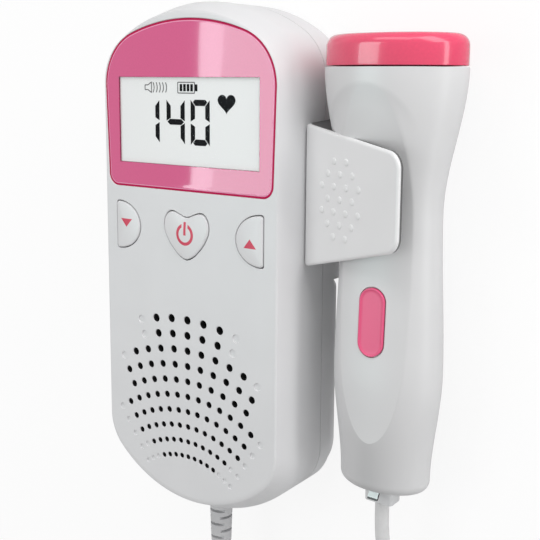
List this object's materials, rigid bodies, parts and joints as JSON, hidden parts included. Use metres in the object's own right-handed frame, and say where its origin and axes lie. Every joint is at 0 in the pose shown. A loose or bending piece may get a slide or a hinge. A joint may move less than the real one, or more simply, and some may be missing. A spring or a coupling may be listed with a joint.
{
  "type": "fetal doppler monitor",
  "caption": "Pocket fetal heartbeat monitor: display unit with heart-shaped power button and speaker grille, side clip, plug-in ultrasound probe and coiled lead.",
  "frame": {"origin": "middle of the display unit's flat back, on which it lies", "axes": "+Z out of the display, +Y towards the display end, +X towards the probe"},
  "size_m": [0.0997, 0.2155, 0.03],
  "materials": {
    "white_plastic": "fine satin",
    "probe_plastic": "satin",
    "clear_window": "polished clear acrylic",
    "pink_print": "pink print behind a clear window",
    "pink_gloss": "polished",
    "lcd": "reflective display with dark segments",
    "light_guide": "clear",
    "board": "solder mask",
    "black_plastic": "moulded",
    "cone_paper": "treated paper",
    "steel": "nickel plated",
    "cell_sleeve": "printed sleeve",
    "ceramic": "fired ceramic",
    "plug_plastic": "moulded",
    "boot_rubber": "soft satin",
    "cord_jacket": "soft satin",
    "tie_plastic": "moulded"
  },
  "bodies": {
    "unit": {"front_case": "white_plastic", "rear_case": "white_plastic", "display_window": "clear_window", "window_print": "pink_print", "lcd_glass": "lcd", "lcd_backlight": "light_guide", "main_board": "board", "power_switch": "black_plastic", "down_switch": "black_plastic", "up_switch": "black_plastic", "speaker_frame": "steel", "speaker_cone": "cone_paper", "speaker_magnet": "steel", "battery_cell_1": "cell_sleeve", "battery_cell_2": "cell_sleeve", "battery_contact_top_1": "steel", "battery_contact_top_2": "steel", "battery_contact_low_1": "steel", "battery_contact_low_2": "steel", "case_screws_1": "steel", "case_screws_2": "steel", "case_screws_3": "steel", "case_screws_4": "steel", "probe_holder": "white_plastic", "holder_screws_1": "steel", "holder_screws_2": "steel", "cord_boot": "boot_rubber", "cord_lead": "cord_jacket", "cord_coil": "cord_jacket", "cord_tail": "cord_jacket", "cord_tie": "tie_plastic"},
    "power_key": {"power_button": "white_plastic", "power_plunger": "black_plastic"},
    "down_key": {"down_button": "white_plastic", "down_plunger": "black_plastic"},
    "up_key": {"up_button": "white_plastic", "up_plunger": "black_plastic"},
    "door": {"battery_door": "white_plastic"},
    "probe": {"probe_shell": "probe_plastic", "probe_back_cover": "probe_plastic", "transducer_cap": "pink_gloss", "transducer_front": "ceramic", "transducer_rear": "ceramic", "probe_board": "board", "probe_jack": "black_plastic", "probe_plug": "plug_plastic", "probe_badge": "pink_gloss", "probe_screws_1": "steel", "probe_screws_2": "steel"}
  },
  "joints": [
    {"name": "power_press", "type": "slide", "parent": "unit", "child": "power_key", "axis": [0, 0, -1], "range_m": [0, 0.0005], "stiffness_N_per_m": 1500, "springref_m": -0.0003},
    {"name": "down_press", "type": "slide", "parent": "unit", "child": "down_key", "axis": [0, 0, -1], "range_m": [0, 0.0005], "stiffness_N_per_m": 1500, "springref_m": -0.0003},
    {"name": "up_press", "type": "slide", "parent": "unit", "child": "up_key", "axis": [0, 0, -1], "range_m": [0, 0.0005], "stiffness_N_per_m": 1500, "springref_m": -0.0003},
    {"name": "door_slide", "type": "slide", "parent": "unit", "child": "door", "axis": [0, -1, 0], "range_m": [0, 0.015]},
    {"name": "probe_slide", "type": "slide", "parent": "unit", "child": "probe", "axis": [0, 1, 0], "range_m": [0, 0.09]}
  ]
}
